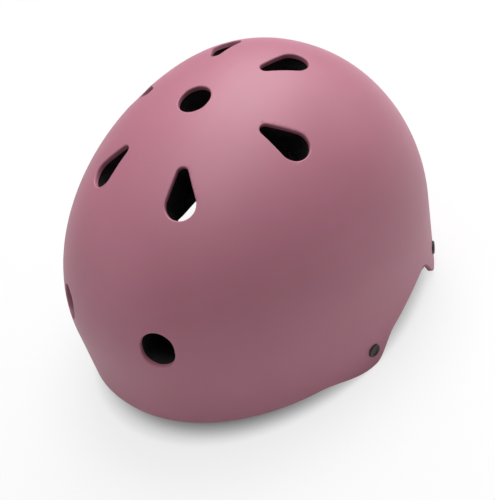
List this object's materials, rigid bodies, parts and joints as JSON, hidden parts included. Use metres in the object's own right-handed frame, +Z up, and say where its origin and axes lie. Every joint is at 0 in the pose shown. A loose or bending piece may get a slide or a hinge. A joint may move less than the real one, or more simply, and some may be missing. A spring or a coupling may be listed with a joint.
{
  "type": "bicycle helmet",
  "caption": "Hard-shell multi-sport cycling helmet with rounded vents, foam liner, comfort pads and a webbing chin strap with side-release buckle",
  "frame": {"origin": "Middle of the helmet's footprint on the surface that it stands on, on the feet of its ear tabs and its nape.", "axes": "+Z up, -Y towards the forehead, +X towards the wearer's left ear. Millimetre source, stored in metres."},
  "size_m": [0.2102, 0.251, 0.1695],
  "materials": {
    "shell_plastic": "satin moulded plastic, dusty pink",
    "liner_foam": "black expanded-bead foam",
    "pad_fabric": "black brushed knit over foam",
    "hook_tape": "black hook-and-loop tape",
    "rivet_plastic": "dark grey moulded plastic",
    "webbing": "black woven webbing",
    "hardware_plastic": "black moulded plastic, fine grain",
    "keeper_rubber": "black soft rubber"
  },
  "bodies": {
    "helmet": {"outer_shell": "shell_plastic", "foam_liner": "liner_foam", "crown_pad": "pad_fabric", "brow_pad": "pad_fabric", "nape_pad": "pad_fabric", "side_pad_left": "pad_fabric", "side_pad_right": "pad_fabric", "pad_patches": "hook_tape", "strap_rivets": "rivet_plastic", "rivet_washers": "rivet_plastic", "front_strap_left": "webbing", "front_strap_right": "webbing", "rear_strap_left": "webbing", "rear_strap_right": "webbing", "strap_divider_left": "hardware_plastic", "strap_divider_right": "hardware_plastic", "chin_strap_left": "webbing", "chin_strap_right": "webbing", "buckle_socket": "hardware_plastic", "buckle_plug": "hardware_plastic"},
    "chin_pad": {"chin_pad": "pad_fabric"},
    "keeper": {"strap_keeper": "keeper_rubber"},
    "front_prong": {"prong_front": "hardware_plastic"},
    "rear_prong": {"prong_rear": "hardware_plastic"}
  },
  "joints": [
    {"name": "chin_pad_slide", "type": "slide", "parent": "helmet", "child": "chin_pad", "axis": [-0.9613, -0.2756, 0], "range_m": [0, 0.008]},
    {"name": "keeper_slide", "type": "slide", "parent": "helmet", "child": "keeper", "axis": [0.9613, 0.2756, 0], "range_m": [-0.005, 0.009]},
    {"name": "front_prong_squeeze", "type": "hinge", "parent": "helmet", "child": "front_prong", "pos_m": [0.02545, 0.03291, 0.0048], "axis": [0, 0, 1], "range_deg": [0, 10], "stiffness_Nm_per_rad": 0.05},
    {"name": "rear_prong_squeeze", "type": "hinge", "parent": "helmet", "child": "rear_prong", "pos_m": [0.02082, 0.04906, 0.0048], "axis": [0, 0, -1], "range_deg": [0, 10], "stiffness_Nm_per_rad": 0.05}
  ]
}
